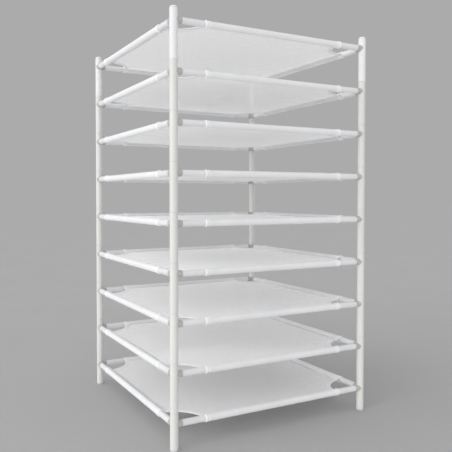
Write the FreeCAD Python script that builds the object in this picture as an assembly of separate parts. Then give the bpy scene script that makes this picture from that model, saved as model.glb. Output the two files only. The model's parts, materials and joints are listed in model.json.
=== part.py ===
import FreeCAD, Part
import math
import os

# Stackable drying rack. Nine square trays of taut cloth stand one on another. Each tray has four
# posts, four tube rails plugged onto spigots in the posts, a cloth cover whose edges are sewn into
# sleeves round the rails, and a binding round each cut-out corner of the cloth.
# The frame: +Z up, the origin on the floor at the middle of the rack, all sizes in millimetres.

# Layout of the rack
tier_count = 9
post_spacing = 920.0  # between post axes, the same both ways
tier_pitch = 190.0  # from one tray to the next
post_head = 42.0  # post above the rail axis, the socket for the next tray
foot_drop = 100.0  # floor to the rail axis of the bottom tray

# Posts
post_diameter = 32.0
post_wall = 2.0
post_edge_chamfer = 0.8

# Stacking spigots, fixed in the lower end of each post and free in the post below
stack_grip = 28.0  # length held in the tray's own post
stack_end_gap = 4.0  # between the spigot's tip and the rail spigots in the post below
stack_wall = 2.5
stack_clearance = 0.3
stack_lead_chamfer = 2.0

# Caps on the top posts
cap_dome_height = 10.0
cap_edge_radius = 8.0
cap_plug_length = 18.0
cap_plug_wall = 2.5

# Feet under the bottom posts
foot_height = 7.0
foot_edge_radius = 4.0
foot_plug_length = 22.0
foot_plug_wall = 2.5

# Rails
rail_diameter = 25.0
rail_wall = 1.5
rail_edge_chamfer = 0.5

# Rail spigots, each a flared collar between post and rail with a tenon into both
collar_length = 16.0  # from the post's surface to the rail's end
collar_tip_step = 0.3  # collar radius over the rail's at the rail's end
collar_root_step = 1.5  # collar radius over the rail's at the post
post_tenon_diameter = 20.0
post_tenon_gap = 1.0  # between the two tenons that meet in one post
rail_tenon_length = 40.0
rail_tenon_chamfer = 1.5
spigot_bore_diameter = 16.0
spigot_bore_floor = 6.0  # solid stretch of the collar left behind the bore

# Cloth covers
cloth_thickness = 0.8
sleeve_gap = 0.2  # between rail and sleeve
stitch_offset = 22.0  # rail axis to the seam that closes the sleeve
hem_offset = 30.0  # rail axis to the inner edge of the sleeve's hem
corner_cut_radius = 133.0  # round cut-out of the cloth about each post

# Bindings on the cloth's corner edges
binding_thickness = 0.9
binding_width = 12.0
binding_lip = 1.6  # binding past the cloth's edge

# Fits and working allowances
glue_gap = 0.1
seam_gap = 0.1
overrun = 5.0

# Sizes worked out from those above
half_spacing = post_spacing / 2
post_radius = post_diameter / 2
post_bore_radius = post_radius - post_wall
rail_radius = rail_diameter / 2
rail_bore_radius = rail_radius - rail_wall
rail_start = post_radius + collar_length
post_tenon_radius = post_tenon_diameter / 2
stack_depth = post_head - post_tenon_radius - stack_end_gap
leg_drop = tier_pitch - post_head
sleeve_bore_radius = rail_radius + sleeve_gap
sleeve_radius = sleeve_bore_radius + cloth_thickness

AXIS_X = FreeCAD.Vector(1, 0, 0)
AXIS_Y = FreeCAD.Vector(0, 1, 0)
AXIS_Z = FreeCAD.Vector(0, 0, 1)
CENTRE = FreeCAD.Vector(0, 0, 0)
QUARTERS = 4


def loop(points):
    """Straight edges through the points and back to the first."""
    return Part.makePolygon(list(points) + [points[0]])


def turned(outline):
    """Solid made by turning a closed outline of (radius, height) about the Z axis."""
    wire = outline
    if not isinstance(outline, Part.Wire):
        wire = loop([FreeCAD.Vector(radius, 0, height) for radius, height in outline])
    return Part.Face(wire).revolve(CENTRE, AXIS_Z, 360)


def tube(outer, inner, low, high, chamfer):
    """Upright tube from low to high with its two outer rims chamfered."""
    return turned([
        (inner, low), (outer - chamfer, low), (outer, low + chamfer),
        (outer, high - chamfer), (outer - chamfer, high), (inner, high),
    ])


def rod(radius, length, start, direction):
    """Plain round rod."""
    return Part.makeCylinder(radius, length, start, direction)


def along_x(shape):
    """Lays an upright shape down, its Z axis along X."""
    laid = shape.copy()
    laid.rotate(CENTRE, AXIS_Y, 90)
    return laid


def moved(shape, x, y, z):
    """Copy of the shape, shifted."""
    copy = shape.copy()
    copy.translate(FreeCAD.Vector(x, y, z))
    return copy


def round_the_rack(shape):
    """Four copies of a front-left shape, turned a quarter each about the rack's middle."""
    copies = []
    for quarter in range(QUARTERS):
        copy = shape.copy()
        copy.rotate(CENTRE, AXIS_Z, 360 / QUARTERS * quarter)
        copies.append(copy)
    return copies


def at_post(shape):
    """Moves a shape made about the origin to the front-left post, at the rails' height."""
    return moved(shape, -half_spacing, -half_spacing, 0)


def make_post(low):
    """Post tube from low to its head, with a hole for each of its two rail spigots."""
    post = tube(post_radius, post_bore_radius, low, post_head, post_edge_chamfer)
    hole_radius = post_tenon_radius + glue_gap
    for direction in (AXIS_X, AXIS_Y):
        post = post.cut(rod(hole_radius, post_diameter, CENTRE, direction))
    return at_post(post)


def make_stacking_spigot():
    """Sleeve fixed in the post's lower end, which slides into the head of the post below."""
    seam = -leg_drop
    glued = post_bore_radius - glue_gap
    sliding = post_bore_radius - stack_clearance
    inner = sliding - stack_wall
    tip = seam - stack_depth
    spigot = turned([
        (inner, tip), (sliding - stack_lead_chamfer, tip), (sliding, tip + stack_lead_chamfer),
        (sliding, seam), (glued, seam), (glued, seam + stack_grip), (inner, seam + stack_grip),
    ])
    return at_post(spigot)


def make_foot():
    """End plug of a bottom post, with a rounded flat-bottomed tread."""
    floor = -foot_drop
    tread_top = floor + foot_height
    plug_top = tread_top + foot_plug_length
    plug = post_bore_radius - glue_gap
    hollow = plug - foot_plug_wall
    centre_r = post_radius - foot_edge_radius
    centre_z = floor + foot_edge_radius
    middle = foot_edge_radius * math.sqrt(0.5)
    edge = Part.Arc(
        FreeCAD.Vector(centre_r, 0, floor),
        FreeCAD.Vector(centre_r + middle, 0, centre_z - middle),
        FreeCAD.Vector(post_radius, 0, centre_z),
    ).toShape()
    rest = Part.makePolygon([FreeCAD.Vector(r, 0, z) for r, z in (
        (post_radius, centre_z), (post_radius, tread_top), (plug, tread_top), (plug, plug_top),
        (hollow, plug_top), (hollow, tread_top), (0, tread_top), (0, floor), (centre_r, floor),
    )])
    return at_post(turned(Part.Wire([edge] + rest.Edges)))


def make_cap():
    """Domed plug in the head of a top post."""
    plug = post_bore_radius - glue_gap
    hollow = plug - cap_plug_wall
    plug_low = post_head - cap_plug_length
    shoulder = post_radius - cap_edge_radius
    rise = cap_dome_height - cap_edge_radius
    crown = (shoulder ** 2 + cap_dome_height ** 2 - cap_edge_radius ** 2) / (2 * rise)
    turn = math.atan2(crown - cap_dome_height, shoulder)

    def on_edge(angle):
        """Point of the dome's rounded edge."""
        return FreeCAD.Vector(
            shoulder + cap_edge_radius * math.cos(angle), 0, post_head + cap_edge_radius * math.sin(angle))

    def on_crown(angle):
        """Point of the dome's flatter crown, at an angle from the post's axis."""
        return FreeCAD.Vector(
            crown * math.sin(angle), 0, post_head + cap_dome_height - crown + crown * math.cos(angle))

    lean = math.pi / 2 - turn
    edge = Part.Arc(on_edge(0), on_edge(turn / 2), on_edge(turn)).toShape()
    top = Part.Arc(on_crown(lean), on_crown(lean / 2), on_crown(0)).toShape()
    rest = Part.makePolygon([FreeCAD.Vector(r, 0, z) for r, z in (
        (0, post_head + cap_dome_height), (0, post_head), (hollow, post_head), (hollow, plug_low),
        (plug, plug_low), (plug, post_head), (post_radius, post_head),
    )])
    return at_post(turned(Part.Wire([edge, top] + rest.Edges)))


def make_rail_spigot():
    """Flared collar with its saddle on the post, a tenon in the post and a tenon in the rail."""
    root = rail_radius + collar_root_step
    tip = rail_radius + collar_tip_step
    flare = (root - tip) / collar_length
    collar = Part.makeCone(root + flare * post_radius, tip, rail_start, CENTRE, AXIS_X)
    saddle = rod(post_radius + glue_gap, 2 * post_diameter, FreeCAD.Vector(0, 0, -post_diameter), AXIS_Z)
    collar = collar.cut(saddle)
    tenon_start = post_tenon_radius + post_tenon_gap
    post_tenon = rod(
        post_tenon_radius, rail_start - tenon_start, FreeCAD.Vector(tenon_start, 0, 0), AXIS_X)
    rail_tenon_radius = rail_bore_radius - glue_gap
    rail_tenon_end = rail_start + rail_tenon_length
    rail_tenon = along_x(turned([
        (0, rail_start - collar_length / 2), (rail_tenon_radius, rail_start - collar_length / 2),
        (rail_tenon_radius, rail_tenon_end - rail_tenon_chamfer),
        (rail_tenon_radius - rail_tenon_chamfer, rail_tenon_end), (0, rail_tenon_end),
    ]))
    spigot = collar.fuse(post_tenon).fuse(rail_tenon).removeSplitter()
    bore_start = post_radius + spigot_bore_floor
    bore = rod(
        spigot_bore_diameter / 2, rail_tenon_end + overrun - bore_start,
        FreeCAD.Vector(bore_start, 0, 0), AXIS_X)
    return spigot.cut(bore)


def make_rail():
    """Tube of the front rail, from collar to collar."""
    rail = tube(rail_radius, rail_bore_radius, rail_start, post_spacing - rail_start, rail_edge_chamfer)
    return at_post(along_x(rail))


def teardrop(radius, join, half_web):
    """Section of a sleeve, seen along the rail: a circle about the rail drawn out to the seam.
    Returns the round part and the two points where the web starts, in (inboard, up) terms."""
    reach = math.hypot(join, half_web)
    touch = math.atan2(half_web, join) + math.acos(radius / reach)
    across, up = radius * math.cos(touch), radius * math.sin(touch)

    def point(inboard, height):
        """The same place at the front rail."""
        return FreeCAD.Vector(-half_spacing, -half_spacing + inboard, height)

    arc = Part.Arc(point(across, up), point(-radius, 0), point(across, -up)).toShape()
    return arc, point, (across, up)


def sleeve_outline(growth):
    """Outer outline of the sleeve and its hem, thickened by growth all round."""
    half_web = cloth_thickness + growth
    arc, point, (across, up) = teardrop(sleeve_radius + growth, stitch_offset, half_web)
    web = Part.makePolygon([
        point(across, -up), point(stitch_offset, -half_web), point(hem_offset + growth, -half_web),
        point(hem_offset + growth, half_web), point(stitch_offset, half_web), point(across, up),
    ])
    return Part.Face(Part.Wire([arc] + web.Edges))


def sleeve_tunnel():
    """Inner outline of the sleeve, where the rail runs."""
    arc, point, (across, up) = teardrop(sleeve_bore_radius, stitch_offset, 0)
    sides = Part.makePolygon([point(across, -up), point(stitch_offset, 0), point(across, up)])
    return Part.Face(Part.Wire([arc] + sides.Edges))


def corner_cutters(radius):
    """Upright rods about the four posts that cut the cloth's corners."""
    height = 2 * (sleeve_radius + overrun)
    cutter = rod(radius, height, FreeCAD.Vector(0, 0, -height / 2), AXIS_Z)
    return round_the_rack(at_post(cutter))


def make_sleeve():
    """Sleeve of the front rail, its ends cut round the posts."""
    section = sleeve_outline(0).cut(sleeve_tunnel())
    sleeve = section.extrude(AXIS_X * post_spacing)
    for cutter in corner_cutters(corner_cut_radius):
        sleeve = sleeve.cut(cutter)
    return sleeve


def panel_plate(growth):
    """Flat cloth inside the sleeves, thickened by growth on both faces, with square corners."""
    half = half_spacing - hem_offset
    thick = cloth_thickness + 2 * growth
    return Part.makeBox(2 * half, 2 * half, thick, FreeCAD.Vector(-half, -half, -thick / 2))


def make_panel():
    """Flat cloth of the tray with its four round corner cut-outs."""
    panel = panel_plate(0)
    for cutter in corner_cutters(corner_cut_radius):
        panel = panel.cut(cutter)
    return panel


def corner_cover(growth, inner, outer):
    """Filled envelope of the cloth and both sleeves, in a ring round the front-left post."""
    height = 2 * (sleeve_radius + overrun)
    start = FreeCAD.Vector(-half_spacing, -half_spacing, -height / 2)
    ring = rod(outer, height, start, AXIS_Z).cut(rod(inner, height, start, AXIS_Z))
    front = sleeve_outline(growth).extrude(AXIS_X * half_spacing)
    left = sleeve_outline(growth).extrude(AXIS_X * half_spacing)
    left = left.mirror(CENTRE, FreeCAD.Vector(1, -1, 0))
    return front.fuse(left).fuse(panel_plate(growth)).common(ring)


def make_binding():
    """Tape folded over the cloth's edge at the front-left post, round both sleeves' mouths."""
    edge = corner_cut_radius
    binding = corner_cover(seam_gap + binding_thickness, edge - binding_lip, edge + binding_width)
    binding = binding.cut(corner_cover(seam_gap, edge - seam_gap, edge + binding_width + overrun))
    start = FreeCAD.Vector(-half_spacing, -half_spacing, 0)
    for direction in (AXIS_X, AXIS_Y):
        binding = binding.cut(rod(sleeve_bore_radius, half_spacing, start, direction))
    return binding


def make_tray_parts():
    """The pieces that every tier has, with the rail axis at height zero."""
    spigot = make_rail_spigot()
    turned_spigot = spigot.copy()
    turned_spigot.rotate(CENTRE, AXIS_Z, 360 / QUARTERS)
    spigots = round_the_rack(at_post(spigot)) + round_the_rack(at_post(turned_spigot))
    return {
        "rail_spigots": spigots,
        "rails": round_the_rack(make_rail()),
        "tray_cloth": [make_panel()] + round_the_rack(make_sleeve()),
        "corner_bindings": round_the_rack(make_binding()),
    }


def tier_parts(tier, tray):
    """Names and solids of one tier, counted from the bottom, with the rail axis at height zero."""
    parts = dict(tray)
    if tier == 1:
        parts["posts"] = round_the_rack(make_post(foot_height - foot_drop))
        parts["feet"] = round_the_rack(make_foot())
    else:
        parts["posts"] = round_the_rack(make_post(-leg_drop))
        parts["stacking_spigots"] = round_the_rack(make_stacking_spigot())
    if tier == tier_count:
        parts["post_caps"] = round_the_rack(make_cap())
    return parts


def main():
    os.makedirs("parts", exist_ok=True)
    tray = make_tray_parts()
    for tier in range(1, tier_count + 1):
        height = foot_drop + (tier - 1) * tier_pitch
        for name, solids in tier_parts(tier, tray).items():
            group = Part.makeCompound([moved(solid, 0, 0, height) for solid in solids])
            group.exportStep(f"parts/tier_{tier}_{name}.step")


main()
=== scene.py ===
# %% [markdown]
# # Dressing a stackable drying rack
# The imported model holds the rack's rigid pieces at their real size: posts, rails, collars, caps and
# feet. They keep their shapes here and get finishes. The trays are cloth, which the model holds only as
# plain sheets, so they are made again as sewn cloth with sleeves, hems, bindings and stitches.

# %% Load the rack
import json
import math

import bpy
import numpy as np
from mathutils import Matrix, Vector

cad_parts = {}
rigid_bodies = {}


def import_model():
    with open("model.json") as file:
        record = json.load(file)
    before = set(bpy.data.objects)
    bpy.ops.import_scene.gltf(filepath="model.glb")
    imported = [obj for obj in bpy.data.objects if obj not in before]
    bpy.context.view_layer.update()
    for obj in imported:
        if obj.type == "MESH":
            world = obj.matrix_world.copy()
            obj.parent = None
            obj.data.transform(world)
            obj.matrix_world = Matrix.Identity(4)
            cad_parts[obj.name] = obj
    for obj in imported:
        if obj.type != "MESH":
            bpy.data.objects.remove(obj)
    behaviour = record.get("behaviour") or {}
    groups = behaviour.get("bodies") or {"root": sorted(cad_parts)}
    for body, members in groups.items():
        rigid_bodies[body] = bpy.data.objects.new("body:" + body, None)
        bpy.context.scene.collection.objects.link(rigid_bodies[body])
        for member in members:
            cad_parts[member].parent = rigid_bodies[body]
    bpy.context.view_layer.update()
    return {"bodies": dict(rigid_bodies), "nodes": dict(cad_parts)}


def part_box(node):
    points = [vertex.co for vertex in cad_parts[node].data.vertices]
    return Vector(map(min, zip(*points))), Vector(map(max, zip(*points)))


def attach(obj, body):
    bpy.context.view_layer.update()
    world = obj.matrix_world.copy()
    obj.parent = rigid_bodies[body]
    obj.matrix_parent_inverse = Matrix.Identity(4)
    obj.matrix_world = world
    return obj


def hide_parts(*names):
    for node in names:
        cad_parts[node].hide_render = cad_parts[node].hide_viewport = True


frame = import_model()

# %% [markdown]
# ## Sizes that come from the frame
# Everything that is added has to meet the tubes exactly, so the sizes of the tubes are read from the
# model. A rail's box gives its radius and the distance between the posts' axes, and the middle of each
# tier's rails gives the height of its tray. Only what the cloth itself has is written down as a number.

nodes = frame["nodes"]
tiers = sorted(frame["bodies"])
rail_low, rail_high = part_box("tier_1_rails")
rail_radius = (rail_high.z - rail_low.z) / 2
half_spacing = rail_high.x - rail_radius
rail_height = {tier: sum(corner.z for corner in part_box(f"{tier}_rails")) / 2 for tier in tiers}
tier_pitch = rail_height["tier_2"] - rail_height["tier_1"]
seam_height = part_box("tier_1_posts")[1].z
print(f"{len(tiers)} tiers, {tier_pitch:.3f} m apart, posts {2 * half_spacing:.3f} m apart")

# %% [markdown]
# ## Meshes from arrays
# Each new piece is a grid of points worked out with numpy. A grid needs only two things to become a
# mesh: the points, and which four of them make each face. The faces follow from the grid's shape alone,
# so one helper numbers them and another one hands everything to Blender in whole arrays.

# %% Faces of a grid, and a mesh from arrays
def grid_faces(rows, columns, joined=False):
    """Quads between neighbouring rows and columns of a grid of points, numbered row by row.
    In a joined grid the last column meets the first one again."""
    row, column = np.meshgrid(
        np.arange(rows - 1), np.arange(columns if joined else columns - 1), indexing="ij")
    following = (column + 1) % columns
    corners = [row * columns + column, row * columns + following,
               (row + 1) * columns + following, (row + 1) * columns + column]
    return np.stack(corners, axis=-1).reshape(-1, 4)


def mesh_piece(name, points, faces, cut=None, wear=None):
    """An object from an array of points and a list of face arrays, each with one count of corners.
    cut, where given, is each point's place on the flat cloth in metres, kept as a UV map, and wear is
    the number of each face's material."""
    mesh = bpy.data.meshes.new(name)
    corners = np.concatenate([face.ravel() for face in faces])
    counts = np.concatenate([np.full(len(face), face.shape[1]) for face in faces])
    starts = np.concatenate([[0], np.cumsum(counts)[:-1]])
    mesh.vertices.add(len(points))
    mesh.vertices.foreach_set("co", np.ascontiguousarray(points, np.float32).ravel())
    mesh.loops.add(len(corners))
    mesh.loops.foreach_set("vertex_index", corners.astype(np.int32))
    mesh.polygons.add(len(counts))
    mesh.polygons.foreach_set("loop_start", starts.astype(np.int32))
    if wear is not None:
        mesh.polygons.foreach_set("material_index", wear.astype(np.int32))
    mesh.update(calc_edges=True)
    mesh.shade_smooth()
    if cut is not None:
        layer = mesh.uv_layers.new(name="cut")
        layer.uv.foreach_set("vector", np.ascontiguousarray(cut[corners], np.float32).ravel())
    piece = bpy.data.objects.new(name, mesh)
    bpy.context.scene.collection.objects.link(piece)
    return piece


# %% Copies round the rack
def quarter_turns(points):
    """The points of a front or front-left piece, and of its copies turned by a quarter, a half and three
    quarters about the rack's upright middle line."""
    turned = [points]
    for _ in range(3):
        x, y, z = np.moveaxis(turned[-1], -1, 0)
        turned.append(np.stack([-y, x, z], axis=-1))
    return turned


def several(grids, faces):
    """Faces for equal grids whose points follow one another in one array."""
    size = len(grids[0].reshape(-1, 3))
    return [np.concatenate([face + size * number for number in range(len(grids))]) for face in faces]


# %% [markdown]
# ## Shared surface effects
# Three small node groups carry the effects that more than one finish uses. Drift is slow change of tone,
# as in plastic from different batches and in cloth that hangs in the light. Rubs are faint drawn-out
# marks from handling. Weave crosses two sets of threads, one over and one under, for cloth and tape.

# %% New groups and wires
def new_group(name, inputs, outputs):
    """An empty shader group with named sockets: inputs maps a name to a socket type and start value."""
    group = bpy.data.node_groups.new(name, "ShaderNodeTree")
    for label, (kind, start) in inputs.items():
        socket = group.interface.new_socket(name=label, in_out="INPUT", socket_type=kind)
        if start is not None:
            socket.default_value = start
    for label, kind in outputs.items():
        group.interface.new_socket(name=label, in_out="OUTPUT", socket_type=kind)
    return group, group.nodes.new("NodeGroupInput"), group.nodes.new("NodeGroupOutput")


def wire(tree, source, target):
    """Links an output to an input, or sets the input where the source is a plain value."""
    if isinstance(source, bpy.types.NodeSocket):
        tree.links.new(source, target)
    else:
        target.default_value = source


# %% Nodes that give back their result
def math_node(tree, operation, *values):
    """One Math node; its result."""
    node = tree.nodes.new("ShaderNodeMath")
    node.operation = operation
    for value, socket in zip(values, node.inputs):
        wire(tree, value, socket)
    return node.outputs[0]


def noise_node(tree, vector, scale, detail, roughness=0.5):
    """One Noise Texture; its value."""
    node = tree.nodes.new("ShaderNodeTexNoise")
    wire(tree, vector, node.inputs["Vector"])
    wire(tree, scale, node.inputs["Scale"])
    node.inputs["Detail"].default_value = detail
    node.inputs["Roughness"].default_value = roughness
    return node.outputs["Fac"]


def ramp_node(tree, value, low, high):
    """Smooth step from 0 at low to 1 at high."""
    node = tree.nodes.new("ShaderNodeMapRange")
    node.interpolation_type = "SMOOTHSTEP"
    wire(tree, value, node.inputs["Value"])
    wire(tree, low, node.inputs["From Min"])
    wire(tree, high, node.inputs["From Max"])
    return node.outputs["Result"]


def stretch_node(tree, vector, scale):
    """The coordinates, stretched by a scale for each axis."""
    node = tree.nodes.new("ShaderNodeMapping")
    wire(tree, vector, node.inputs["Vector"])
    node.inputs["Scale"].default_value = scale
    return node.outputs["Vector"]


def blend_node(tree, share, first, second):
    """Colour between first and second."""
    node = tree.nodes.new("ShaderNodeMix")
    node.data_type = "RGBA"
    wire(tree, share, node.inputs["Factor"])
    wire(tree, first, node.inputs["A"])
    wire(tree, second, node.inputs["B"])
    return node.outputs["Result"]


# %% Drift and rubs
FLOAT, VECTOR = "NodeSocketFloat", "NodeSocketVector"


def drift_group():
    """Slow change of tone: soft noise, widened so that it spends time near both ends."""
    group, start, end = new_group(
        "drift", {"Vector": (VECTOR, None), "Scale": (FLOAT, 5.0)}, {"Tone": FLOAT})
    noise = noise_node(group, start.outputs["Vector"], start.outputs["Scale"], detail=3.0)
    wire(group, ramp_node(group, noise, low=0.32, high=0.68), end.inputs["Tone"])
    return group


def rubs_group():
    """Faint marks drawn out along one axis: stretched noise, of which only the peaks are kept, broken up
    by a second noise so that no mark runs on for long."""
    group, start, end = new_group(
        "rubs", {"Vector": (VECTOR, None), "Fineness": (FLOAT, 60.0), "Rarity": (FLOAT, 0.6)},
        {"Mark": FLOAT})
    long_noise = noise_node(
        group, start.outputs["Vector"], start.outputs["Fineness"], detail=4.0, roughness=0.65)
    upper = math_node(group, "ADD", start.outputs["Rarity"], 0.14)
    marks = ramp_node(group, long_noise, start.outputs["Rarity"], upper)
    slow_noise = noise_node(group, start.outputs["Vector"], scale=7.0, detail=1.0)
    patches = ramp_node(group, slow_noise, low=0.4, high=0.65)
    wire(group, math_node(group, "MULTIPLY", marks, patches), end.inputs["Mark"])
    return group


# %% Weave
def weave_group():
    """Plain weave on flat cloth coordinates in metres. Each thread is a half sine across its width. Where
    the thread numbers add up to an even number the warp lies on top, and elsewhere the weft does. Height
    is the upper thread, and Gap is high in the pinholes between four threads, a third of the cloth."""
    group, start, end = new_group(
        "weave", {"Vector": (VECTOR, None), "Threads per metre": (FLOAT, 900.0)},
        {"Height": FLOAT, "Gap": FLOAT})
    split = group.nodes.new("ShaderNodeSeparateXYZ")
    wire(group, start.outputs["Vector"], split.inputs[0])
    across = [math_node(group, "MULTIPLY", split.outputs[axis], start.outputs["Threads per metre"])
              for axis in (0, 1)]
    humps = [math_node(group, "ABSOLUTE", math_node(group, "SINE", math_node(group, "MULTIPLY", a, math.pi)))
             for a in across]
    numbers = [math_node(group, "FLOOR", a) for a in across]
    odd = math_node(group, "PINGPONG", math_node(group, "ADD", *numbers), 1.0)
    sunk_share = 0.6  # of its height that the lower thread loses
    sunk = math_node(group, "MULTIPLY", odd, sunk_share)
    warp = math_node(group, "MULTIPLY", humps[0], math_node(group, "SUBTRACT", 1.0, sunk))
    weft = math_node(group, "MULTIPLY", humps[1], math_node(group, "ADD", 1.0 - sunk_share, sunk))
    wire(group, math_node(group, "MAXIMUM", warp, weft), end.inputs["Height"])
    thickest = math_node(group, "MAXIMUM", *humps)
    thick = ramp_node(group, thickest, low=0.68, high=0.88)
    wire(group, math_node(group, "SUBTRACT", 1.0, thick), end.inputs["Gap"])
    return group


DRIFT, RUBS, WEAVE = drift_group(), rubs_group(), weave_group()
print("groups:", DRIFT.name, RUBS.name, WEAVE.name)

# %% [markdown]
# ## Finishes of the tubes and fittings
# The posts are ivory plastic tube with a soft gloss, and the top tier and all rails are a cooler white.
# Plain plastic still isn't one colour: drawn tube has streaks along its length, and it is rubbed by handling.
# Where one post stands on the next, a thin line of painted shade marks the seam. The seams are at known
# heights, so that painted shade is worked out from the height alone.

# %% Material helpers
def new_material(name):
    """A material with an empty Principled shader; the material, its tree, the shader."""
    material = bpy.data.materials.new(name)
    material.use_nodes = True
    tree = material.node_tree
    return material, tree, tree.nodes["Principled BSDF"]


def use_group(tree, group, **inputs):
    """Places a group in a material; underscores in a name stand for spaces."""
    node = tree.nodes.new("ShaderNodeGroup")
    node.node_tree = group
    for label, value in inputs.items():
        wire(tree, value, node.inputs[label.replace("_", " ")])
    return node.outputs


def bump_node(tree, height, strength, distance):
    """Bump from a height, in metres at full height."""
    node = tree.nodes.new("ShaderNodeBump")
    wire(tree, height, node.inputs["Height"])
    node.inputs["Strength"].default_value = strength
    node.inputs["Distance"].default_value = distance
    return node.outputs["Normal"]


def scaled(colour, factor):
    """A darker or lighter colour."""
    return tuple(factor * part for part in colour[:3]) + (1.0,)


# %% Tubes
SEAM_SHADE_REACH = 0.0016  # how far the painted seam shade reaches from a seam
RUB_SHARE, SEAM_SHADE_SHARE = 0.35, 0.25  # how much of a mark's own tone shows
RUB_TONE, SEAM_SHADE_TONE = 0.72, 0.45  # that tone, as a share of the tube's deeper one
RUB_DULLING, DRIFT_DULLING = 0.22, 0.07  # roughness that they add


def seam_shade(tree, place, width):
    """1 at the posts' seams and 0 at this width from them, by the distance of the height from the nearest
    whole number of tiers above the first seam."""
    split = tree.nodes.new("ShaderNodeSeparateXYZ")
    wire(tree, place, split.inputs[0])
    above = math_node(tree, "SUBTRACT", split.outputs["Z"], seam_height - tier_pitch / 2)
    within = math_node(tree, "FLOORED_MODULO", above, tier_pitch)
    away = math_node(tree, "ABSOLUTE", math_node(tree, "SUBTRACT", within, tier_pitch / 2))
    return math_node(tree, "SUBTRACT", 1.0, ramp_node(tree, away, 0.2 * width, width))


def tube_material(name, light, deep, streaks, gloss, seams):
    """Drawn plastic tube. streaks stretches the pattern along the tube, gloss is its least roughness, and
    seams says whether a thin line of painted shade shows at the posts' seams."""
    material, tree, shader = new_material(name)
    place = tree.nodes.new("ShaderNodeTexCoord").outputs["Object"]
    tone = use_group(tree, DRIFT, Vector=stretch_node(tree, place, streaks), Scale=9.0)["Tone"]
    colour = blend_node(tree, tone, light, deep)
    mark = use_group(tree, RUBS, Vector=place, Fineness=90.0, Rarity=0.56)["Mark"]
    rubbed = math_node(tree, "MULTIPLY", mark, RUB_SHARE)
    colour = blend_node(tree, rubbed, colour, scaled(deep, RUB_TONE))
    # painted shade: a thin darker line at each seam between post segments
    if seams:
        shade = math_node(tree, "MULTIPLY", seam_shade(tree, place, SEAM_SHADE_REACH), SEAM_SHADE_SHARE)
        colour = blend_node(tree, shade, colour, scaled(deep, SEAM_SHADE_TONE))
    wire(tree, colour, shader.inputs["Base Color"])
    dull = math_node(tree, "MULTIPLY_ADD", mark, RUB_DULLING, gloss)
    wire(tree, math_node(tree, "MULTIPLY_ADD", tone, DRIFT_DULLING, dull), shader.inputs["Roughness"])
    skin = noise_node(tree, stretch_node(tree, place, streaks), scale=420.0, detail=2.0)
    wire(tree, bump_node(tree, skin, strength=0.12, distance=0.0003), shader.inputs["Normal"])
    return material


# %% Fittings, and the finish of each node
def fitting_material():
    """Moulded ivory: a fine even grain all over, duller and greyer than the tubes, and darker again by
    painted shade, for collars that stand in the posts' shade.
    """
    material, tree, shader = new_material("ivory_moulding_and_shade")
    place = tree.nodes.new("ShaderNodeTexCoord").outputs["Object"]
    tone = use_group(tree, DRIFT, Vector=place, Scale=38.0)["Tone"]
    # partly the moulding's greyer plastic, partly painted shade: these colours are well below the tubes', for
    # collars in the posts' shade
    colour = blend_node(tree, tone, (0.46, 0.455, 0.437, 1.0), (0.40, 0.395, 0.378, 1.0))
    wire(tree, colour, shader.inputs["Base Color"])
    grain = noise_node(tree, place, scale=900.0, detail=3.0)
    wire(tree, math_node(tree, "MULTIPLY_ADD", grain, 0.2, 0.42), shader.inputs["Roughness"])
    wire(tree, bump_node(tree, grain, strength=0.25, distance=0.0003), shader.inputs["Normal"])
    return material


UPRIGHT, EVEN = (1.0, 1.0, 0.12), (1.0, 1.0, 1.0)
ivory_tube = tube_material(
    "ivory_tube", light=(0.68, 0.676, 0.662, 1.0), deep=(0.63, 0.626, 0.61, 1.0),
    streaks=UPRIGHT, gloss=0.34, seams=True)
white_post = tube_material(
    "white_post", light=(0.75, 0.75, 0.762, 1.0), deep=(0.71, 0.71, 0.725, 1.0),
    streaks=UPRIGHT, gloss=0.30, seams=True)
white_rail = tube_material(
    "white_rail", light=(0.73, 0.732, 0.745, 1.0), deep=(0.685, 0.687, 0.70, 1.0),
    streaks=EVEN, gloss=0.30, seams=False)
ivory_moulding_and_shade = fitting_material()

FINISHES = {"rails": white_rail, "rail_spigots": ivory_moulding_and_shade, "stacking_spigots": ivory_moulding_and_shade,
            "feet": ivory_tube, "post_caps": white_post, "posts": ivory_tube}
for name, node in nodes.items():
    kind = name.split("_", 2)[2]
    if kind in FINISHES:
        node.data.materials.clear()
        node.data.materials.append(white_post if name == f"{tiers[-1]}_posts" else FINISHES[kind])
print("finished", sum(name.split("_", 2)[2] in FINISHES for name in nodes), "tube and fitting nodes")
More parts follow.
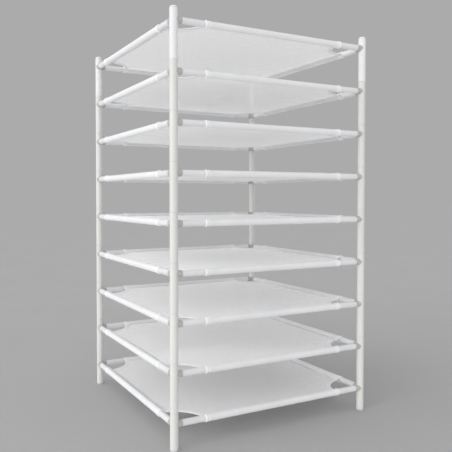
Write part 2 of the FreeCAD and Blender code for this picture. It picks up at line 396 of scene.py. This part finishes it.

# %% [markdown]
# ## Cloth, tape and thread
# The trays are white plain-woven cloth, thin enough that the back post and the rails behind a tray show
# faintly through it, and that light from above brightens its underside. Its threads are about a millimetre
# apart, so they are bump, colour and alpha, not mesh. They lie on the flat cut of the cloth, which the pieces
# carry as a UV map in metres. Uneven thread makes long faint streaks both ways. The light that goes through
# the threads is subsurface scattering in the thin sheet, and a ray that has come in through a pinhole leaves
# by the other face, which is its back. The sleeves are strips of denser, cooler cloth, which look much like
# the rails in them. The binding tape is finer and dense, with a rolled lip that is whiter and carries a
# painted highlight, and a line of painted shade in its crease.

# %% Woven cloth
def cloth_material(name, light, deep, threads, streak, roughness, sheen):
    """Woven cloth; the material, its tree and shader, the flat cut's coordinates, the cloth's colour and
    the mask of its pinholes. streak is how much uneven thread shows."""
    material, tree, shader = new_material(name)
    cut = tree.nodes.new("ShaderNodeUVMap")
    cut.uv_map = "cut"
    flat = cut.outputs["UV"]
    weave = use_group(tree, WEAVE, Vector=flat, Threads_per_metre=threads)
    slow = use_group(tree, DRIFT, Vector=flat, Scale=7.0)["Tone"]
    warp = noise_node(tree, stretch_node(tree, flat, (1.0, 0.02, 1.0)), scale=260.0, detail=2.0)
    weft = noise_node(tree, stretch_node(tree, flat, (0.02, 1.0, 1.0)), scale=260.0, detail=2.0)
    both = math_node(tree, "MULTIPLY", math_node(tree, "ADD", warp, weft), 0.5)
    uneven = ramp_node(tree, both, low=0.3, high=0.7)
    colour = blend_node(tree, math_node(tree, "MULTIPLY_ADD", uneven, streak, math_node(
        tree, "MULTIPLY", slow, 0.4)), light, deep)
    wire(tree, colour, shader.inputs["Base Color"])
    wire(tree, math_node(tree, "MULTIPLY_ADD", uneven, 0.1, roughness), shader.inputs["Roughness"])
    height = math_node(tree, "MULTIPLY_ADD", uneven, 0.35, weave["Height"])
    wire(tree, bump_node(tree, height, strength=0.15, distance=0.0002), shader.inputs["Normal"])
    shader.inputs["Sheen Weight"].default_value = sheen
    return material, tree, shader, flat, colour, weave["Gap"]


# %% Tray cloth and sleeve strips
def sheer_cloth():
    """The tray's cloth: a quarter of what is behind it shows, except where it is seen nearly edge-on and
    the threads hide the pinholes, and light scatters through the threads."""
    material, tree, shader, _, _, gap = cloth_material(
        "tray_cloth", light=(0.985, 0.985, 0.988, 1.0), deep=(0.94, 0.94, 0.944, 1.0),
        threads=900.0, streak=0.55, roughness=0.82, sheen=0.1)
    through_threads, more_in_pinholes = 0.08, 0.5
    hole = math_node(tree, "MULTIPLY_ADD", gap, more_in_pinholes, through_threads)
    edge_on = tree.nodes.new("ShaderNodeLayerWeight").outputs["Facing"]
    starts_to_close, closed = 0.82, 0.96
    hidden = ramp_node(tree, edge_on, starts_to_close, closed)
    cover = math_node(tree, "SUBTRACT", 1.0, math_node(
        tree, "MULTIPLY", hole, math_node(tree, "SUBTRACT", 1.0, hidden)))
    back = tree.nodes.new("ShaderNodeNewGeometry").outputs["Backfacing"]
    front = math_node(tree, "SUBTRACT", 1.0, back)
    wire(tree, math_node(tree, "MULTIPLY", cover, front), shader.inputs["Alpha"])
    shader.inputs["Subsurface Weight"].default_value = 0.9
    shader.inputs["Subsurface Radius"].default_value = (1.0, 1.0, 1.0)
    shader.inputs["Subsurface Scale"].default_value = 0.003
    return material


def sleeve_cloth(seam):
    """The sleeves' strips, with a line of painted shade where the seam, at this distance from the middle of
    the flat cut, draws the cloth in."""
    material, tree, shader, flat, colour, _ = cloth_material(
        "sleeve_strip", light=(0.76, 0.762, 0.775, 1.0), deep=(0.705, 0.707, 0.72, 1.0),
        threads=1300.0, streak=0.7, roughness=0.7, sheen=0.1)
    split = tree.nodes.new("ShaderNodeSeparateXYZ")
    wire(tree, flat, split.inputs[0])
    reach = math_node(tree, "MAXIMUM", *[math_node(tree, "ABSOLUTE", split.outputs[axis]) for axis in (0, 1)])
    away = math_node(tree, "ABSOLUTE", math_node(tree, "SUBTRACT", reach, seam))
    full, faint = 0.0006, 0.0020  # half widths of the line
    line = math_node(tree, "SUBTRACT", 1.0, ramp_node(tree, away, full, faint))
    # painted shade: the seam's crease is darkened in the colour
    seam_painted_shade = blend_node(tree, math_node(tree, "MULTIPLY", line, 0.25), colour, (0.55, 0.553, 0.565, 1.0))
    wire(tree, seam_painted_shade, shader.inputs["Base Color"])
    return material


# %% Tape and thread
def lipped_tape(lip, crease):
    """The binding's tape: whiter up to its lip's width from the edge, where it also carries a painted
    highlight, with a line of painted shade at the crease behind it.
    """
    material, tree, shader, flat, colour, _ = cloth_material(
        "binding_tape", light=(0.80, 0.805, 0.82, 1.0), deep=(0.74, 0.745, 0.765, 1.0),
        threads=1400.0, streak=0.4, roughness=0.74, sheen=0.2)
    split = tree.nodes.new("ShaderNodeSeparateXYZ")
    wire(tree, flat, split.inputs[0])
    inward = split.outputs["Y"]
    away = math_node(tree, "ABSOLUTE", math_node(tree, "SUBTRACT", inward, crease))
    full, faint = 0.0004, 0.0016  # half widths of the crease
    # painted shade: a dark line along the tape's crease
    painted_crease_shade = math_node(tree, "SUBTRACT", 1.0, ramp_node(tree, away, full, faint))
    colour = blend_node(tree, math_node(tree, "MULTIPLY", painted_crease_shade, 0.55), colour, (0.45, 0.455, 0.475, 1.0))
    # the lip: the tape's own whiter colour with a painted highlight on top
    rolled = math_node(tree, "SUBTRACT", 1.0, ramp_node(tree, inward, 0.7 * lip, lip))
    colour = blend_node(tree, rolled, colour, (0.93, 0.93, 0.935, 1.0))
    wire(tree, colour, shader.inputs["Base Color"])
    return material


def thread_material():
    """Twisted sewing thread, its lustre broken by a fine noise."""
    material, tree, shader = new_material("sewing_thread")
    place = tree.nodes.new("ShaderNodeTexCoord").outputs["Object"]
    twist = noise_node(tree, place, scale=700.0, detail=1.0)
    colour = blend_node(tree, twist, (0.88, 0.88, 0.89, 1.0), (0.76, 0.76, 0.78, 1.0))
    wire(tree, colour, shader.inputs["Base Color"])
    wire(tree, math_node(tree, "MULTIPLY_ADD", twist, 0.2, 0.5), shader.inputs["Roughness"])
    return material


sewing_thread = thread_material()
tray_cloth = sheer_cloth()
print("cloth finishes:", tray_cloth.name, sewing_thread.name)

# %% [markdown]
# ## The tray cloth
# Each tray is one sheet, with denser strips along its edges. Its middle is taut, sags a few millimetres
# and is puckered along the seams. Each edge goes over a rail, round it and back to a seam, which makes the
# sleeve, and its raw end lies under the seam as a hem. The corners are cut out round the posts. A cloth
# simulation could drape it, but on a taut sheet a formula gives the same few millimetres and meets the
# tubes exactly. The middle is a square grid drawn in along each ray from the centre, so that its rim meets
# the seams and the round cuts. A sleeve is the profile round a rail carried along it, and both share their
# points at the seam.

# %% Sizes of the cloth
cloth_thickness = 0.0007
sleeve_room = 0.0002  # between rail and cloth
sleeve_line = rail_radius + sleeve_room + cloth_thickness / 2  # rail axis to the middle of the cloth
stitch_offset = 0.022  # rail axis to the seam
hem_offset = 0.030  # rail axis to the hem's raw edge
hem_drop = 1.3 * cloth_thickness  # hem under the tray's own cloth
corner_radius = 0.133  # round cut about each post
centre_sag = 0.005
rim = half_spacing - stitch_offset
seam_half = half_spacing - math.sqrt(corner_radius ** 2 - stitch_offset ** 2)
seam_cells, corner_cells = 96, 16
sleeve_strip = sleeve_cloth(rim)
print(f"seams {2 * rim:.3f} m apart and straight for {2 * seam_half:.3f} m")


# %% The middle of a tray
PUCKERS = ((0.043, 0.0006), (0.071, 0.0008), (0.117, 0.0008))  # lengths and heights of the waves
PUCKER_RISE, PUCKER_FADE = 0.008, 0.045  # ways from the seam over which they grow and die out


def lines_across():
    """Grid lines from rim to rim, with lines at both ends of the straight seams."""
    return np.concatenate([
        np.linspace(-rim, -seam_half, corner_cells, endpoint=False),
        np.linspace(-seam_half, seam_half, seam_cells, endpoint=False),
        np.linspace(seam_half, rim, corner_cells + 1),
    ])


def tray_plan():
    """Plan of the tray's middle. Each ray from the centre meets either the seam or the corner circle
    first; the root of the circle's quadratic says where. Points are drawn in by that share of the ray,
    with the cube of their own way along it, so the centre stays an even grid."""
    x, y = np.meshgrid(lines_across(), lines_across(), indexing="ij")
    reach = np.maximum(np.maximum(abs(x), abs(y)), 1e-9)
    ray_x, ray_y = abs(x) / reach, abs(y) / reach
    square = ray_x ** 2 + ray_y ** 2
    linear = half_spacing * (ray_x + ray_y)
    root = linear ** 2 - square * (2 * half_spacing ** 2 - corner_radius ** 2)
    circle = np.where(root > 0, (linear - np.sqrt(np.maximum(root, 0))) / square, rim)
    draw = 1 + (np.minimum(circle / rim, 1) - 1) * (reach / rim) ** 3
    return x * draw, y * draw


def tray_height(x, y, chance):
    """Height of the taut cloth: a cosine sag that is nothing at the seams, and puckers at each seam that
    start from nothing, are highest a centimetre in and die out over some centimetres."""
    height = -centre_sag * np.cos(np.pi * x / 2 / rim) * np.cos(np.pi * y / 2 / rim)
    for along, across in ((x, y), (x, -y), (y, x), (y, -x)):
        inboard = np.maximum(rim - across, 0)
        fade = (1 - np.exp(-inboard / PUCKER_RISE)) * np.exp(-inboard / PUCKER_FADE)
        for length, size in PUCKERS:
            height = height + size * fade * np.sin(2 * np.pi * (along / length + chance.random()))
    return height


# %% The way round a rail
def sleeve_profile():
    """The cloth's middle line round a rail, as places inboard of and above its axis: up from the seam to
    the tube, round it, back under to the seam, and on as the hem."""
    touch = math.acos(sleeve_line / stitch_offset)
    turn = np.linspace(touch, 2 * np.pi - touch, 24)
    tube = sleeve_line * np.stack([np.cos(turn), np.sin(turn)], axis=-1)
    rise = np.linspace(0, 1, 5)[:-1, None]
    seam, under = np.array([stitch_offset, 0.0]), np.array([stitch_offset, -hem_drop])
    hem = np.array([hem_offset, -hem_drop])
    return np.concatenate([
        seam + rise * (tube[0] - seam), tube, under + rise[::-1] * (tube[-1] - under),
        under + np.array([[0.5], [1.0]]) * (hem - under),
    ])


PROFILE = sleeve_profile()
profile_way = np.concatenate([[0], np.cumsum(np.linalg.norm(np.diff(PROFILE, axis=0), axis=1))])
print(f"cloth round a rail: {1000 * profile_way[-1]:.0f} mm")


# %% Make a tray's cloth
SLACK_WAVES, SLACK_HEIGHT = (0.031, 0.052, 0.09), 0.00025  # waves of the slack cloth under a rail
SLACK_SHARE = 0.6  # of the way from the rail's axis in to the seam


def outward(profile):
    """Unit normals of a profile that goes round the rail with it on the left."""
    along = np.gradient(profile, axis=0)
    along /= np.linalg.norm(along, axis=1)[:, None]
    return np.stack([along[:, 1], -along[:, 0]], axis=-1)


def sleeve_points(chance):
    """Points of the front sleeve, its ends cut by the corner circles, slack enough below the rail to
    stand off it in shallow waves, and its place on the flat cut beyond the seam."""
    share = np.linspace(-1, 1, seam_cells + 1)[:, None]
    half_length = half_spacing - np.sqrt(corner_radius ** 2 - PROFILE[:, 0] ** 2)
    x = share * half_length
    slack = np.clip((sleeve_line - PROFILE[:, 1]) / 2 / sleeve_line, 0, 1) ** 2
    slack = slack * (PROFILE[:, 0] < stitch_offset * SLACK_SHARE)
    wave = sum(0.5 + 0.5 * np.sin(2 * np.pi * (x / length + chance.random())) for length in SLACK_WAVES)
    place = PROFILE + (SLACK_HEIGHT * slack * wave)[..., None] * outward(PROFILE)
    points = np.stack([x, place[..., 0] - half_spacing, place[..., 1]], axis=-1)
    cut = np.stack([x, np.broadcast_to(-rim - profile_way, x.shape), np.zeros_like(x)], axis=-1)
    return points, cut


def tray_piece(tier, number):
    """One tray's cloth: the middle and four sleeves, joined at the seams and given its thickness. The
    sleeves are the denser strips."""
    chance = np.random.default_rng(number)
    x, y = tray_plan()
    middle = np.stack([x, y, tray_height(x, y, chance)], axis=-1)
    sleeve, sleeve_cut = sleeve_points(chance)
    sleeves, cuts = quarter_turns(sleeve), quarter_turns(sleeve_cut)
    points = np.concatenate([middle.reshape(-1, 3)] + [s.reshape(-1, 3) for s in sleeves])
    points[:, 2] += rail_height[tier]
    cut = np.concatenate([np.stack([x, y], axis=-1).reshape(-1, 2)] + [c.reshape(-1, 3)[:, :2] for c in cuts])
    faces = [grid_faces(*x.shape)]
    faces += [face + x.size for face in several(sleeves, [grid_faces(*sleeve.shape[:2])])]
    strips = np.repeat([0, 1], [len(face) for face in faces])
    piece = mesh_piece(f"{tier}_cloth", points, faces, cut, strips)
    weld = piece.modifiers.new("join_seams", "WELD")
    weld.merge_threshold = 1e-6
    wall = piece.modifiers.new("thickness", "SOLIDIFY")
    wall.thickness, wall.offset = cloth_thickness, 0.0
    piece.data.materials.append(tray_cloth)
    piece.data.materials.append(sleeve_strip)
    return piece


# %% [markdown]
# ## Bindings
# A folded tape covers the cloth's raw edge at each corner. It follows the round cut and goes on round both
# sleeve mouths, where it shows as a white ring on the rail. It is a tape section carried along that edge.
# At each point the section needs two directions: into the cloth, and out of its face. The tape is thin
# between cloth and rail, so its inner side is pressed flat on the sleeves.

# %% The edge that a binding follows
TAPE_WIDTH, TAPE_HEIGHT, TAPE_STITCH = 0.017, 0.0024, 0.010
TAPE_LIP, TAPE_CREASE = 0.0035, 0.0052
STITCH_DIP_SHARE = 0.38  # height of the tape at its stitches
PRESSED_SHARE = 0.2  # height of its inner side on a sleeve
binding_tape = lipped_tape(TAPE_LIP, TAPE_CREASE)
arc_steps = 40


def unit(vectors):
    """The vectors at length one."""
    return vectors / np.linalg.norm(vectors, axis=-1, keepdims=True)


def corner_edge():
    """Edge of the cloth at the front-left post, from under one sleeve, round its rail, along the cut to
    the other rail and round that. Returns the line, the way into the cloth and the way out of its face,
    and how far each point belongs to the flat cut, all with the post's axis at zero."""
    ring = PROFILE[:-2]
    normal = outward(PROFILE)[:-2]
    along = np.sqrt(corner_radius ** 2 - ring[:, 0] ** 2)
    zero = np.zeros_like(along)
    first = np.stack([along, ring[:, 0], ring[:, 1]], axis=-1)[::-1]
    second = np.stack([ring[:, 0], along, ring[:, 1]], axis=-1)
    least = math.asin(stitch_offset / corner_radius)
    turn = np.linspace(least, np.pi / 2 - least, arc_steps)[1:-1]
    flat = np.stack([np.cos(turn), np.sin(turn), 0 * turn], axis=-1)
    line = np.concatenate([first, corner_radius * flat, second])
    along_x, along_y = (np.tile(way, (len(ring), 1)) for way in ([1.0, 0, 0], [0, 1.0, 0]))
    inward = np.concatenate([along_x, flat, along_y])
    face = np.concatenate([
        np.stack([zero, normal[:, 0], normal[:, 1]], axis=-1)[::-1],
        np.tile([0, 0, 1.0], (len(flat), 1)),
        np.stack([normal[:, 0], zero, normal[:, 1]], axis=-1),
    ])
    eased = 3  # points on each side over which the face turns from a sleeve to the flat cut
    padded = np.pad(face, ((eased, eased), (0, 0)), mode="edge")
    face = sum(padded[shift:shift + len(face)] for shift in range(2 * eased + 1))
    tangent = unit(np.gradient(line, axis=0))
    inward = unit(inward - tangent * np.sum(inward * tangent, axis=1, keepdims=True))
    face = unit(face - inward * np.sum(face * inward, axis=1, keepdims=True))
    belongs = np.concatenate([zero, np.ones(len(flat)), zero])
    return line, inward, face, belongs


EDGE, EDGE_IN, EDGE_OUT, EDGE_FLAT = corner_edge()
edge_way = np.concatenate([[0], np.cumsum(np.linalg.norm(np.diff(EDGE, axis=0), axis=1))])
print(f"edge of one corner: {1000 * edge_way[-1]:.0f} mm")


# %% Make a tier's bindings
def tape_section():
    """Half outline of the folded tape, as ways into the cloth and out of its face: a full rolled lip, a
    flat body with a dip where it is stitched, and a turned-in edge that ends in a step."""
    into = 0.001 * np.array(
        [-2.2, -1.9, -1.0, 0.4, 1.8, 3.0, 4.2, 5.2, 6.6, 8.6, 10.0, 11.4, 14.0, 16.2, 17.0])
    out = TAPE_HEIGHT * np.array(
        [0.0, 0.5, 0.88, 1.0, 0.95, 0.75, 0.45, 0.28, 0.42, 0.5, STITCH_DIP_SHARE, 0.5, 0.48, 0.42, 0.25])
    return into, out


def binding_piece(tier):
    """The four bindings of one tray."""
    into, out = tape_section()
    free = np.convolve(np.pad(EDGE_FLAT, 4, mode="edge"), np.full(9, 1 / 9), "valid")
    pressed = PRESSED_SHARE + (1 - PRESSED_SHARE) * free
    outer = EDGE[:, None] + into[None, :, None] * EDGE_IN[:, None] + out[None, :, None] * EDGE_OUT[:, None]
    low = -out[None, ::-1] * pressed[:, None]
    inner = EDGE[:, None] + into[None, ::-1, None] * EDGE_IN[:, None] + low[..., None] * EDGE_OUT[:, None]
    grid = np.concatenate([outer, inner[:, :-1]], axis=1)
    rows, columns = grid.shape[:2]
    grid = grid + np.array([-half_spacing, -half_spacing, rail_height[tier]])
    round_way = np.concatenate([into, 2 * TAPE_WIDTH - into[::-1][:-1]])
    cut = np.stack(np.broadcast_arrays(edge_way[:, None], round_way[None]), axis=-1).reshape(-1, 2)
    ends = np.stack([np.arange(columns)[::-1], np.arange(columns) + (rows - 1) * columns])
    grids = quarter_turns(grid)
    faces = several(grids, [grid_faces(rows, columns, joined=True)[:, ::-1], ends[:, ::-1]])
    points = np.concatenate([g.reshape(-1, 3) for g in grids])
    piece = mesh_piece(f"{tier}_bindings", points, faces, np.tile(cut, (len(grids), 1)))
    piece.data.materials.append(binding_tape)
    return piece


# %% [markdown]
# ## Stitches
# The seams of the sleeves and the bindings are sewn with white thread, and each stitch is a short bead of
# thread. Thousands of them are needed, so one bead has few faces, and all beads of a tray are made at once:
# the bead's points are multiplied by each stitch's own three directions.

# %% Make a tier's stitches
STITCH_PITCH, STITCH_LENGTH, THREAD_RADIUS = 0.005, 0.0036, 0.00042
SEAM_INSET = 0.0012  # of the stitches inboard of the seam


def bead():
    """One stitch along its first axis: three rings of six points, wide in the middle."""
    turn = np.linspace(0, 2 * np.pi, 6, endpoint=False)
    rings = [(-0.5, 0.45), (0.0, 1.0), (0.5, 0.45)]
    points = [np.stack([0 * turn + STITCH_LENGTH * at, THREAD_RADIUS * size * np.cos(turn),
                        THREAD_RADIUS * size * np.sin(turn)], axis=-1) for at, size in rings]
    caps = np.stack([np.arange(6)[::-1], np.arange(6) + 12])
    return np.concatenate(points), [grid_faces(3, 6, joined=True), caps]


def even_places(way):
    """Evenly spaced places along a line, a stitch apart, with half a stitch left at each end."""
    count = int(way[-1] / STITCH_PITCH)
    return (np.arange(count) + 0.5) * way[-1] / count


def along_line(way, at, values):
    """Values of a line's points at places along it."""
    return np.stack([np.interp(at, way, values[:, axis]) for axis in range(values.shape[1])], axis=-1)


# %% Where the stitches are
def binding_stitches():
    """Places, directions along and faces of the stitches of one corner's binding, on its outer side all
    along and on its inner side on the flat cut."""
    lift = STITCH_DIP_SHARE * TAPE_HEIGHT
    at = even_places(edge_way)
    line = along_line(edge_way, at, EDGE + TAPE_STITCH * EDGE_IN)
    way = along_line(edge_way, at, np.gradient(EDGE, axis=0))
    out = unit(along_line(edge_way, at, EDGE_OUT))
    flat = np.interp(at, edge_way, EDGE_FLAT) > 0.99
    corner = np.array([-half_spacing, -half_spacing, 0])
    places = np.concatenate([line + lift * out, (line - lift * out)[flat]]) + corner
    return places, unit(np.concatenate([way, way[flat]])), np.concatenate([out, -out[flat]])


def seam_stitches():
    """The same for the front sleeve's seam, on the tray and under the hem."""
    at = even_places(np.array([0, 2 * seam_half - 2 * TAPE_WIDTH])) - seam_half + TAPE_WIDTH
    up = np.stack([at, 0 * at - rim + SEAM_INSET, 0 * at + cloth_thickness / 2], axis=-1)
    under = np.stack([at, 0 * at - rim + SEAM_INSET, 0 * at - hem_drop - cloth_thickness / 2], axis=-1)
    places = np.concatenate([up, under])
    facing = np.concatenate([np.tile([0, 0, 1.0], (len(at), 1)), np.tile([0, 0, -1.0], (len(at), 1))])
    return places, np.tile([1.0, 0, 0], (len(places), 1)), facing


def stitch_piece(tier):
    """All the stitches of one tray."""
    rows = [np.concatenate(parts) for parts in zip(binding_stitches(), seam_stitches())]
    places, way, out = (np.concatenate(quarter_turns(row)) for row in rows)
    side = unit(np.cross(out, way))
    shape, faces = bead()
    axes = np.stack([way, side, np.cross(way, side)], axis=1)
    points = places[:, None] + np.einsum("pa,kac->kpc", shape, axes)
    points[..., 2] += rail_height[tier]
    piece = mesh_piece(f"{tier}_stitches", points.reshape(-1, 3), several(points, faces))
    piece.data.materials.append(sewing_thread)
    return piece


# %% Sew all the trays
for number, tier in enumerate(tiers, start=1):
    cloth, bindings, stitches = tray_piece(tier, number), binding_piece(tier), stitch_piece(tier)
    for piece, slot in ((cloth, "tray_cloth"), (bindings, "binding_tape"), (stitches, "binding_tape")):
        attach(piece, tier)
    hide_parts(f"{tier}_tray_cloth")
    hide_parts(f"{tier}_corner_bindings")

# %% [markdown]
# ## Floor, light and camera
# A white rack needs a pale but not white floor to stand out. One far lamp on the left, taller than the rack,
# shines in between the trays, so that all posts and the far rails have the same bright left side. Soft
# light from a studio's walls and ceiling does the rest. The wall on the left is the brightest, so that round
# tubes keep a shaded right side and the trays get a little darker that way. The camera stands off the front
# left corner, at the height of the middle trays.

# %% Floor and world
FLOOR_TONE, FLOOR_BOUNCE = 0.40, 0.85
WALL_LEVEL, CEILING_LEVEL, BRIGHT_LEVEL, SIDE_TILT = 0.68, 0.95, 1.25, 0.25
BRIGHT_SIDE = (-0.98, -0.2, 0.0)
SEEN_TONE = FLOOR_TONE * ((WALL_LEVEL + 2 * CEILING_LEVEL) / 3 + BRIGHT_LEVEL / 8)


def seen_ray(tree):
    """1 for a ray that shows the studio, straight, in a gloss or through glass, and 0 for one that
    gathers light."""
    path = tree.nodes.new("ShaderNodeLightPath").outputs
    mirrored = math_node(tree, "MAXIMUM", path["Is Glossy Ray"], path["Is Transmission Ray"])
    return math_node(tree, "MAXIMUM", path["Is Camera Ray"], mirrored)


def floor_piece():
    """A wide matt floor as a grid of four points, with a faint drift of tone. It throws back light as a
    white studio floor does, and shows a deeper tone, against which a white rack stands out."""
    reach = 60.0
    corners = np.array([[-reach, -reach, 0], [reach, -reach, 0], [-reach, reach, 0], [reach, reach, 0]])
    piece = mesh_piece("floor", corners, [np.array([[0, 1, 3, 2]])])
    material, tree, shader = new_material("studio_floor")
    place = tree.nodes.new("ShaderNodeTexCoord").outputs["Object"]
    tone = use_group(tree, DRIFT, Vector=place, Scale=1.5)["Tone"]
    seen = seen_ray(tree)
    grey, white = (FLOOR_TONE, FLOOR_TONE, FLOOR_TONE), (FLOOR_BOUNCE, FLOOR_BOUNCE, FLOOR_BOUNCE, 1.0)
    shown = blend_node(tree, tone, scaled(grey, 1.01), scaled(grey, 0.99))
    wire(tree, blend_node(tree, seen, white, shown), shader.inputs["Base Color"])
    shader.inputs["Roughness"].default_value = 0.9
    shader.inputs["Specular IOR Level"].default_value = 0.0
    piece.data.materials.append(material)


def world_light():
    """A studio's walls and ceiling. The level rises with height from the walls' to the ceiling's, tilts
    evenly from the far side up to the bright wall, and rises there with the square of the direction's
    share that way. A floor gathers a third of the walls', two thirds of the ceiling's and an eighth of the
    bright wall's level. Where the world itself is seen it has the far floor's tone, so that both meet
    without a line."""
    world = bpy.data.worlds.new("studio")
    world.use_nodes = True
    tree = world.node_tree
    background = tree.nodes["Background"]
    way = tree.nodes.new("ShaderNodeTexCoord").outputs["Generated"]
    split = tree.nodes.new("ShaderNodeSeparateXYZ")
    wire(tree, way, split.inputs[0])
    height = math_node(tree, "MAXIMUM", split.outputs["Z"], 0.0)
    level = math_node(tree, "MULTIPLY_ADD", height, CEILING_LEVEL - WALL_LEVEL, WALL_LEVEL)
    turned = tree.nodes.new("ShaderNodeVectorMath")
    turned.operation = "DOT_PRODUCT"
    wire(tree, way, turned.inputs[0])
    turned.inputs[1].default_value = BRIGHT_SIDE
    level = math_node(tree, "MULTIPLY_ADD", turned.outputs["Value"], SIDE_TILT, level)
    share = math_node(tree, "MAXIMUM", turned.outputs["Value"], 0.0)
    level = math_node(tree, "MULTIPLY_ADD", math_node(tree, "MULTIPLY", share, share), BRIGHT_LEVEL, level)
    seen = seen_ray(tree)
    lit = math_node(tree, "MULTIPLY", level, math_node(tree, "SUBTRACT", 1.0, seen))
    wire(tree, math_node(tree, "MULTIPLY_ADD", seen, SEEN_TONE, lit), background.inputs["Strength"])
    background.inputs["Color"].default_value = (1.0, 1.0, 1.0, 1.0)
    bpy.context.scene.world = world


floor_piece()
world_light()
print(f"the world is seen at {SEEN_TONE:.3f}, like the far floor")


# %% Key lamp
def soft_lamp(name, place, aim, width, height, power):
    """A tall soft lamp that faces its aim."""
    light = bpy.data.lights.new(name, "AREA")
    light.shape, light.size, light.size_y, light.energy = "RECTANGLE", width, height, power
    lamp = bpy.data.objects.new(name, light)
    bpy.context.scene.collection.objects.link(lamp)
    lamp.visible_camera = False
    way = np.array(aim) - np.array(place)
    lamp.location = place
    lamp.rotation_euler = (
        math.atan2(math.hypot(way[0], way[1]), -way[2]), 0.0, math.atan2(-way[0], way[1]))


soft_lamp("key", place=(-14.8, -5.8, 1.35), aim=(0.0, 0.0, 1.35), width=2.8, height=5.2, power=350.0)

# %% Camera
FRAME_PIXELS = 452
FOCAL_PIXELS = 590.5
CENTRE_PIXEL = (213.0, 212.4)
CAMERA_PLACE = (-1.377, -2.479, 0.960)
CAMERA_DROP, CAMERA_TURN = 1.5, 28.22  # degrees below level, and to the right of the rack's depth
camera_data = bpy.data.cameras.new("camera")
camera_data.sensor_width = 36.0
camera_data.lens = FOCAL_PIXELS / FRAME_PIXELS * camera_data.sensor_width
camera_data.shift_x = (FRAME_PIXELS / 2 - CENTRE_PIXEL[0]) / FRAME_PIXELS
camera_data.shift_y = (CENTRE_PIXEL[1] - FRAME_PIXELS / 2) / FRAME_PIXELS
camera = bpy.data.objects.new("camera", camera_data)
camera.location = CAMERA_PLACE
camera.rotation_euler = (math.radians(90 - CAMERA_DROP), 0.0, math.radians(-CAMERA_TURN))
bpy.context.scene.collection.objects.link(camera)
bpy.context.scene.camera = camera
bpy.context.scene.view_settings.view_transform = "Standard"
print(f"camera with a {camera_data.lens:.1f} mm lens at {CAMERA_PLACE}")
